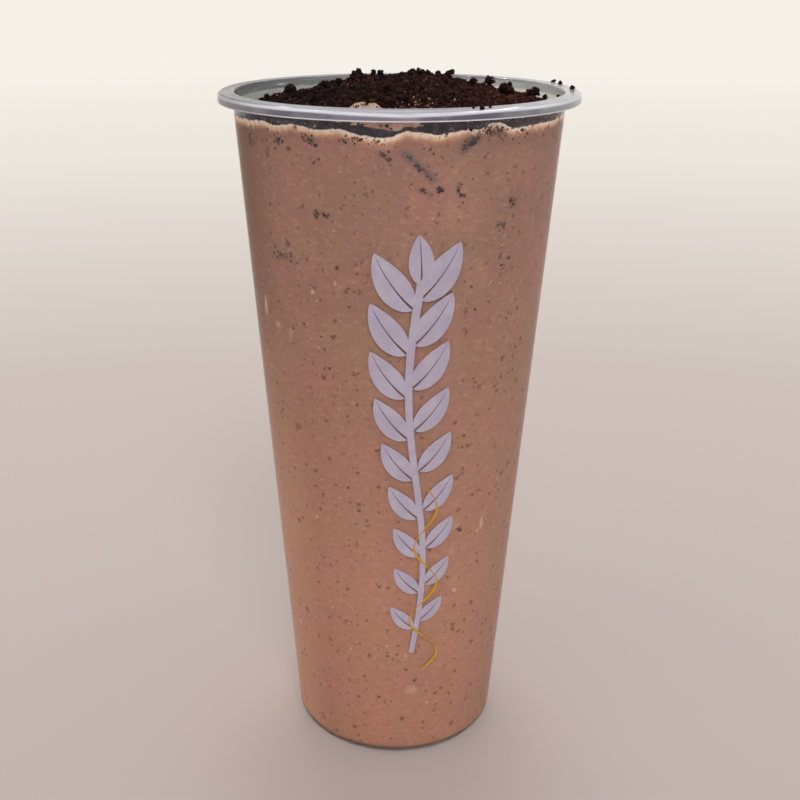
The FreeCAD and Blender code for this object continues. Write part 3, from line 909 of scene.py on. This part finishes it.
def make_smears():
    """Thin smears of drink on the wall in the clear band, each a low crowned patch with an uneven edge."""
    generator = np.random.default_rng(31)
    steps, rings = 48, 7
    into_wall = 0.4
    turns = even_turns(steps)
    points, faces = [], []
    for azimuth, level, half_width, half_height in SMEARS:
        phases = generator.uniform(0.0, FULL_TURN, 5)
        ragged = 1.0 + sum(0.13 * np.sin(turns * (k + 2) + phase) for k, phase in enumerate(phases))
        first = len(points)
        for ring in range(rings + 1):
            share = ring / rings
            across = half_width * share * ragged * np.cos(turns)
            up = level + half_height * share * ragged * np.sin(turns)
            depth = into_wall if ring == rings else 0.38 - 0.5 * (1.0 - share ** 2)
            turn = math.radians(azimuth) + across / inner_radius(level)
            points += around(turn, inner_radius(up) + depth, up).tolist()
        faces += ring_faces(first, steps, rings + 1) + fan(len(points), len(points) - steps, steps, True)
        points += around(np.radians([azimuth]), inner_radius(level) + into_wall, level).tolist()
    new_piece("wall_smears", points, faces, SHAKE, "milkshake", attributes={
        "below_froth": np.full(len(points), 1.25), "height_share": np.ones(len(points))})


def make_droplets():
    """Tiny drops and bubbles on the wall in the clear band."""
    generator = np.random.default_rng(32)
    count, highest = 420, 0.9
    azimuths = generator.uniform(-180.0, 180.0, count)
    levels = CUP_HEIGHT - highest - generator.uniform(0.2, 1.0, count) * (FROTH_DROP - highest)
    sizes = generator.lognormal(-2.2, 0.35, count)
    keep = (levels > froth_level(azimuths) - 0.1) & (np.abs(azimuths) < 100.0)
    places, outward = on_wall(azimuths[keep], levels[keep], -0.02)
    look = (DROPLETS, "milkshake")
    grains("wall_droplets", generator, places, sizes[keep], 1, 0.1, look, (outward, 0.6), True)


# ---- crumbs ----

# How far the heap of grains lies below the CAD node's lumps, as place across and drop.
HEAP_TRIM = [
    (-40, 2.4), (-36, 1.9), (-32, 1.8), (-29, 1.8), (-22, 1.6), (-16, 1.5), (-13, 1.1), (-11.5, 0.4),
    (-6, 0.4), (-3, 0.8), (4, 0.7), (7, 0.5), (12, 0.5), (14, 1.5), (20, 1.7), (24, 2.2), (28, 1.9),
    (34, 1.5), (37, 1.5), (40, 2.3),
]


def heap_level(x, y):
    """Top of the heap over an array of plan positions, with the CAD node's coarse lumps evened out."""
    total = np.zeros(len(x))
    reach = inner_radius(FROTH) - 0.6
    spread = 1.5
    offsets = [(0.0, 0.0)] + [(spread * math.cos(turn), spread * math.sin(turn)) for turn in even_turns(6)]
    for across, along in offsets:
        px, py = x + across, y + along
        shrink = np.minimum(1.0, reach / np.maximum(np.hypot(px, py), 1e-6))
        total += HEAP_TOP.grid(px * shrink, py * shrink, FROTH - 1.0)
    across, drop = np.array(HEAP_TRIM, float).T
    return total / len(offsets) - np.interp(x, across, drop)


def relief(x, y):
    """Uneven relief of the heap, in soft lumps and small bumps."""
    plan = np.stack([x, y], axis=1)
    return 0.5 * lattice_noise(plan, 4.2, 60) + 0.45 * layered_noise(plan, 2.0, 61, 3)


def make_crumb_core():
    """The heap's core, a little under the heap's outline, with relief finer than its grains."""
    rings, steps = 64, 300
    bite = 0.12
    reach = inner_radius(FROTH) + bite
    turns = even_turns(steps)
    middle = heap_level(np.zeros(1), np.zeros(1))[0] - 0.55
    points, shades, behind = [np.array([[0.0, 0.0, middle]])], [np.full(1, 0.25)], [np.zeros(1)]
    for ring in range(1, rings + 1):
        plan = around(turns, reach * ring / rings, 0.0)[:, :2]
        points.append(np.column_stack([plan, heap_level(*plan.T) + relief(*plan.T) - 0.75]))
        shades.append(0.25 + 0.2 * lattice_noise(plan, 1.2, 71))
        behind.append(np.full(steps, float(ring == rings)))
    # The side follows the wall, a little inside the drink's surface.
    top = points[-1][:, 2]
    foot = np.minimum(top - 0.4, froth_level(np.degrees(turns)) - 0.8)
    points[-1] = around(turns, inner_radius(top) + bite, top)
    for share in (0.25, 0.5, 0.75, 1.0):
        level = top * (1.0 - share) + foot * share
        points.append(around(turns, inner_radius(level) + bite, level))
        shades.append(0.25 + 0.3 * lattice_noise(np.stack([turns * reach, level], axis=1), 0.8, 73))
        behind.append(np.ones(steps))
    faces = shell_faces(steps, len(points) - 1, True)
    points.append(np.array([[0.0, 0.0, FROTH - 3.0]]))
    shades.append(np.full(1, 0.25))
    behind.append(np.zeros(1))
    piece = new_piece("crumb_core", np.concatenate(points), faces, *CRUMB_LOOK, attributes={
        "shade": np.clip(np.concatenate(shades), 0.0, 1.0), "behind_wall": np.concatenate(behind)})
    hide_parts("crumb_topping")


def warm_side(x, generator, pale):
    """Shades of grains: redder and paler to the right, painted light as it falls. This share of them is pale,
    painted glints.
    """
    shades = 0.41 + 0.008 * x + generator.normal(0.0, 0.26, len(x))
    glint = generator.uniform(0.0, 1.0, len(x)) < pale
    return np.clip(np.where(glint, 1.0, np.minimum(shades, 0.92)), 0.0, 1.0)


def scattered(generator, count, reach, lift):
    """Random places on the heap's relief, raised by the lift, but none where the drink lies bare."""
    radius = reach * np.sqrt(generator.uniform(0.0, 1.0, count))
    x, y, _ = around(generator.uniform(0.0, FULL_TURN, count), radius, 0.0).T
    level = heap_level(x, y) + relief(x, y)
    return np.stack([x, y, level + lift], axis=1)[level > shake_level(x, y)]


# Clumps that stand out of the heap's outline, as x, y, level and size.
CLUMPS = [
    (-27, -1, 179.7, 1.6), (-25, -2, 178.7, 0.9), (-10.7, 0, 182.7, 1.9), (-10, 0, 184.4, 0.6),
    (22.4, 0, 182, 1.35), (26.2, 0, 180.2, 1.35), (27.6, -1, 179.6, 1), (34, 0, 179.3, 1.35),
    (32.4, -1, 179.2, 0.8), (5, 0, 184.2, 0.6), (7.1, 0, 183.9, 0.6), (13, 0, 184.1, 0.65),
    (9.7, 0, 183.7, 0.6), (-6.3, 0, 184, 0.7), (-4.6, 1, 183.8, 0.6), (0.6, 1, 183.4, 0.6),
    (12.2, 0, 183.5, 0.7), (18.4, 0, 181.9, 0.7), (-18.6, 0, 181.3, 0.7), (-15, 0, 181.9, 0.7),
    (36.4, 0, 178, 0.6), (-33, 0, 178.2, 0.6), (-30.9, 0, 178.3, 0.5), (2.6, 0, 183.6, 0.5),
]
# Loose grains over the core, as name, seed, count, distance kept from the wall, lift, middle and spread of
# the size's logarithm, divisions, dents and share of pale ones, which are painted glints.
HEAP_GRAINS = [
    ("crumb_dust", 100, 18000, 0.0, -0.5, -1.4, 0.28, -1, 0.4, 0.012),
    ("crumb_grit", 107, 21000, 0.0, -0.42, -1.15, 0.3, -1, 0.45, 0.0),
    ("crumbs_fine", 101, 5600, 0.0, -0.42, -0.9, 0.28, 0, 0.4, 0.0),
    ("crumbs_coarse", 102, 600, 0.4, -0.35, -0.6, 0.22, 1, 0.35, 0.0),
]


def dust_on(generator, clumps, sizes, specks=30):
    """Places of dust all over clumps of these sizes."""
    ways = generator.normal(size=(len(clumps), specks, 3))
    ways /= np.linalg.norm(ways, axis=2)[:, :, None]
    return (clumps[:, None] + ways * (0.86 * sizes)[:, None, None]).reshape(-1, 3)


def make_crumbs():
    """Clumps on the core, then loose grains from dust to coarse crumbs. The clumps have dust on them."""
    reach = inner_radius(CUP_HEIGHT - 2.0) - 0.25
    generator = np.random.default_rng(103)
    places = scattered(generator, 150, reach - 4.5, -0.35)
    sizes = generator.uniform(0.6, 1.05, len(places))
    named = np.array(CLUMPS)
    clumps = np.concatenate([places, named[:, :3]])
    sizes = np.append(sizes, named[:, 3])
    shades = np.clip(generator.normal(0.24, 0.14, len(clumps)), 0.0, 1.0)
    shades[-len(named):] = 0.2
    grains("crumb_clumps", generator, clumps, 0.92 * sizes, 2, 0.14, CRUMB_LOOK, shade=shades)
    for name, seed, count, inset, lift, middle, spread, divisions, rough, pale in HEAP_GRAINS:
        generator = np.random.default_rng(seed)
        on_clumps = dust_on(generator, clumps, sizes) if name == "crumb_dust" else np.zeros((0, 3))
        places = np.concatenate([scattered(generator, count, reach - inset, lift), on_clumps])
        widths = generator.lognormal(middle, spread, len(places))
        shades = warm_side(places[:, 0], generator, pale)
        grains(name, generator, places, widths, divisions, rough, CRUMB_LOOK, shade=shades)


def make_wall_crumbs():
    """Crumbs pressed against the wall, in the clear band between the froth line and the rim."""
    generator = np.random.default_rng(104)
    count = 2600
    azimuths = generator.uniform(-180.0, 180.0, count)
    low = froth_level(azimuths) - 0.2
    high = CUP_HEIGHT - SKIRT_DEPTH + 0.6
    levels = low + (high - low) * generator.uniform(0.0, 1.0, count)
    sizes = generator.lognormal(-1.0, 0.3, count)
    places, _ = on_wall(azimuths, levels, -0.15)
    x, y = places[:, 0], places[:, 1]
    shrink = (inner_radius(FROTH) - 1.0) / np.hypot(x, y)
    lumpy = HEAP_TOP.grid(x * shrink, y * shrink, CUP_HEIGHT - 9.0)
    roof = np.where(np.abs(azimuths) < 60.0, lumpy, heap_level(x * shrink, y * shrink))
    keep = levels < roof + 0.3
    # Redder and paler to the right: painted light, as on the heap.
    shades = np.clip(0.36 + 0.008 * x + generator.normal(0.0, 0.25, count), 0.0, 1.0)
    grains("crumbs_at_wall", generator, places[keep], sizes[keep], 0, 0.3, CRUMB_LOOK,
           shade=shades[keep], behind_wall=0.9)


def make_froth_bits():
    """Pale bits of froth caught between the crumbs near the mound."""
    generator = np.random.default_rng(106)
    count = 40
    x = generator.normal(3.5, 3.0, count)
    y = generator.normal(-30.0, 3.2, count)
    places = np.stack([x, y, heap_level(x, y) + relief(x, y) + 0.05], axis=1)
    sizes = generator.uniform(0.08, 0.26, count)
    look = (SHAKE, "milkshake")
    grains("froth_bits", generator, places, sizes, 0, 0.4, look, below_froth=1.0, height_share=1.0)


# Crumbs on the rim and on the wall above the heap, as x, y, height over the rim and size.
STRAY_CRUMBS = [
    (40.9, 16.8, 0.25, 0.55), (41.9, 11.5, 0.25, 0.6), (43.0, -0.9, 0.25, 0.6), (30.3, 23.6, -1.2, 0.55),
    (37.9, -7.9, -1.8, 0.35), (38.9, -5.6, -1.2, 0.35), (17.0, -40.9, 0.1, 0.5), (18.9, -39.6, 0.1, 0.35),
    (15.2, -41.0, 0.1, 0.3),
]


def make_loose_crumbs():
    """Single crumbs that lie on the rim and the mound and cling to the wall above the heap."""
    generator = np.random.default_rng(105)
    stray = np.array(STRAY_CRUMBS) + (0.0, 0.0, CUP_HEIGHT, 0.0)
    count = 60
    x = generator.normal(MOUND_X, 3.6, count)
    y = generator.normal(MOUND_Y, 1.8, count)
    on_mound = np.stack([x, y, shake_level(x, y) + 0.1, generator.uniform(0.1, 0.24, count)], axis=1)
    crumbs = np.concatenate([stray, on_mound])
    grains("crumbs_loose", generator, crumbs[:, :3], crumbs[:, 3], 1, 0.25, CRUMB_LOOK, shade=0.15)


# ---- printed ornament ----

INK_LIFT = 0.01
INK_THICKNESS = 0.1
ORNAMENT_AZIMUTH = 7.0
STEM_LOW, STEM_HIGH = 36.0, 141.0


class Ink:
    """Closed thin patches of ink on the outside of the wall, gathered into one piece."""

    def __init__(self):
        self.points, self.faces = [], []

    def ribbon(self, path, widths):
        """A ribbon along a path of (across, level) millimetres on the unrolled wall."""
        ahead = np.gradient(path, axis=0)
        ahead /= np.linalg.norm(ahead, axis=1)[:, None]
        side = np.stack([-ahead[:, 1], ahead[:, 0]], axis=1)
        section = [(share, INK_LIFT + INK_THICKNESS) for share in (-1, 0, 1)]
        section += [(share, INK_LIFT) for share in (1, 0, -1)]
        lines = []
        for share, lift in section:
            across, level = (path + side * (widths * share)[:, None]).T
            turn = across / outer_radius(level) + math.radians(ORNAMENT_AZIMUTH)
            lines.append(around(turn, outer_radius(level) + lift, level))
        first = len(self.points)
        self.points += np.stack(lines, axis=1).reshape(-1, 3).tolist()
        last = len(self.points) - len(section)
        self.faces += ring_faces(first, len(section), len(path), True)
        for a, b, c, d in ((5, 0, 1, 4), (4, 1, 2, 3)):
            self.faces.append([first + a, first + b, first + c, first + d])
            self.faces.append([last + a, last + d, last + c, last + b])

    def leaf(self, base, angle, length, width, bend):
        """A bold leaf in two halves, with a bare line for its rib."""
        share = np.linspace(0.0, 1.0, 22)
        turn = np.radians(angle) + np.radians(bend) * share
        ahead = np.stack([np.cos(turn), np.sin(turn)], axis=1)
        run = np.cumsum(ahead[:-1] * (length / (len(share) - 1)), axis=0)
        spine = np.array(base) + np.concatenate([np.zeros((1, 2)), run])
        side = np.stack([-ahead[:, 1], ahead[:, 0]], axis=1)
        half = 0.5 * width * np.sin(math.pi * share ** 0.8) ** 0.8
        rib = 0.22 * (1.0 - share)
        for sign in (-1.0, 1.0):
            middle = rib + 0.5 * np.maximum(half - rib, 0.02)
            self.ribbon(spine + side * (sign * middle)[:, None], 0.5 * np.maximum(half - rib, 0.04))

    def piece(self, name, ink):
        new_piece(name, self.points, self.faces, ink, "print", smooth=False)


def sway(level):
    """How far the sprig's stem stands aside at a level."""
    return 2.4 * np.sin((level - STEM_LOW) / (STEM_HIGH - STEM_LOW) * FULL_TURN)


def make_ornament():
    """A plain leafy sprig up the front, with a thin golden wave beside its lower half."""
    lilac = Ink()
    levels = np.linspace(STEM_LOW, STEM_HIGH, 90)
    stem = np.stack([sway(levels), levels], axis=1)
    lilac.ribbon(stem, np.interp(levels, [STEM_LOW, STEM_HIGH], [0.7, 1.0]))
    for share in np.linspace(0.0, 1.0, 9):
        level = 44.0 + 90.0 * share
        length = 9.0 + 7.5 * share
        for side in (-1.0, 1.0):
            angle = 90.0 - side * (52.0 - 6.0 * share)
            base = (sway(level) + side * 0.8, level + (2.4 if side > 0 else 0.0))
            lilac.leaf(base, angle, length, length * 0.46, side * 24.0)
    lilac.leaf((0.0, STEM_HIGH - 1.0), 90.0, 12.0, 6.0, 8.0)
    lilac.piece("print_sprig", LILAC_INK)
    golden = Ink()
    run = np.linspace(0.0, 1.0, 160)
    wave = np.stack([3.0 + 4.2 * np.sin(run * 5.0 * math.pi) * (1.0 - 0.4 * run), 30.0 + 56.0 * run], axis=1)
    golden.ribbon(wave, 0.28 + 0.14 * np.sin(run * 10.0 * math.pi))
    golden.piece("print_wave", GOLDEN_INK)


# ---- stage, light and camera ----

BACKDROP = linear(246, 241, 232)
SKY_LIGHT = (0.97, 0.98, 1.0, 1.0)
FLOOR_TONE = linear(226, 214, 207)
FLOOR_FRONT = (0.0, -0.3, 0.0)
# The floor's shade at a distance in metres from FLOOR_FRONT.
FLOOR_SEEN = [(0.25, 202, 186, 180), (0.62, 214, 200, 193), (0.87, 226, 215, 207), (1.37, 239, 232, 221)]
# Broad soft suns, as name, azimuth, elevation, strength and width in degrees.
SUNS = [("key", 6.0, 42.0, 0.87, 26.0), ("fill", -50.0, 18.0, 0.3, 70.0), ("top", 180.0, 75.0, 0.69, 20.0)]
# Small weak lamps that only put glints on the plastic.
SPARK_AZIMUTHS = (-71.0, -30.0, -14.0, 22.0, 56.0, 75.0, 92.0, 128.0, -128.0)
SPARK_ELEVATION, SPARK_POWER, SPARK_WIDTH = 50.0, 4.5, 0.05
# The camera in metres, and its tilt up from straight down in degrees.
CAMERA_PLACE = (-0.0066246, -0.2934735, 0.2095056)
CAMERA_TILT = 69.024
CAMERA_LENS, CAMERA_SHIFT = 51.42, 0.0345


def make_floor():
    """A plain pale floor that keeps the shadow. Far off it fades into the backdrop's tone."""
    bpy.ops.mesh.primitive_circle_add(vertices=96, radius=6.0, fill_type="NGON", location=(0.0, 0.0, 0.0))
    floor = bpy.context.object
    floor.name = "studio_floor"
    nodes = material("studio_floor")
    away = {0: nodes.place(), 1: FLOOR_FRONT}
    distance = nodes.add("ShaderNodeVectorMath", away, operation="DISTANCE").outputs["Value"]
    nearest, farthest = FLOOR_SEEN[0][0], FLOOR_SEEN[-1][0]
    doublings = math.log2(farthest / nearest)
    share = nodes.maths("LOGARITHM", nodes.maths("DIVIDE", distance, nearest), 2.0)
    share = nodes.maths("DIVIDE", share, doublings, clamp=True)
    stops = [(math.log2(metres / nearest) / doublings, *shade) for metres, *shade in FLOOR_SEEN]
    seen = nodes.ramp(share, stops)
    tone = nodes.mix(nodes.seen_directly(), FLOOR_TONE, seen)
    near = nodes.shader(tone, 0.9, {"Specular IOR Level": 0.1})
    far = nodes.add("ShaderNodeEmission", {"Color": BACKDROP}).outputs[0]
    fade = nodes.times(nodes.remap(distance, 0.55, 2.7), nodes.seen_directly())
    mixed = nodes.add("ShaderNodeMixShader", {0: fade, 1: near, 2: far})
    floor.data.materials.append(nodes.surface(mixed.outputs[0]))


def make_world():
    """Even light from all round. Seen directly, it is the backdrop."""
    world = bpy.data.worlds.new("studio")
    bpy.context.scene.world = world
    nodes = Nodes(world, "ShaderNodeOutputWorld")
    light = nodes.add("ShaderNodeBackground", {"Color": SKY_LIGHT, "Strength": 0.5}).outputs[0]
    shown = nodes.add("ShaderNodeBackground", {"Color": BACKDROP}).outputs[0]
    mixed = nodes.add("ShaderNodeMixShader", {0: nodes.seen_directly(), 1: light, 2: shown})
    nodes.surface(mixed.outputs[0])


def add_lamp(name, kind, azimuth, elevation, strength):
    """A lamp a metre from the rim, at an azimuth and elevation in degrees from it, aimed at it."""
    turn, rise = math.radians(azimuth), math.radians(elevation)
    way = Vector((math.sin(turn) * math.cos(rise), -math.cos(turn) * math.cos(rise), math.sin(rise)))
    lamp = bpy.data.objects.new(name, bpy.data.lights.new(name, kind))
    lamp.data.energy = strength
    lamp.location = way + Vector((0.0, 0.0, CUP_HEIGHT * MM))
    lamp.rotation_euler = (-way).to_track_quat("-Z", "Y").to_euler()
    bpy.context.scene.collection.objects.link(lamp)
    return lamp


def make_lights():
    for name, azimuth, elevation, strength, width in SUNS:
        add_lamp(name, "SUN", azimuth, elevation, strength).data.angle = math.radians(width)
    for index, azimuth in enumerate(SPARK_AZIMUTHS):
        spark = add_lamp(f"spark_{index}", "AREA", azimuth, SPARK_ELEVATION, SPARK_POWER)
        spark.data.size = SPARK_WIDTH
        spark.visible_diffuse = False


def make_camera():
    """In front, above the rim, looking down at the cup as it was seen."""
    data = bpy.data.cameras.new("camera")
    data.lens = CAMERA_LENS
    data.sensor_width = 36.0
    data.shift_x = CAMERA_SHIFT
    data.clip_start = 0.01
    camera = bpy.data.objects.new("camera", data)
    bpy.context.scene.collection.objects.link(camera)
    tilt = Matrix.Rotation(math.radians(CAMERA_TILT), 4, "X")
    camera.matrix_world = Matrix.Translation(CAMERA_PLACE) @ tilt
    bpy.context.scene.camera = camera


# ---- everything ----

make_camera()
make_floor()
make_world()
make_lights()
make_cup()
make_milkshake()
make_flecks()
make_smears()
make_droplets()
make_crumb_core()
make_crumbs()
make_wall_crumbs()
make_loose_crumbs()
make_froth_bits()
make_ornament()
bpy.context.scene.view_settings.view_transform = "Standard"
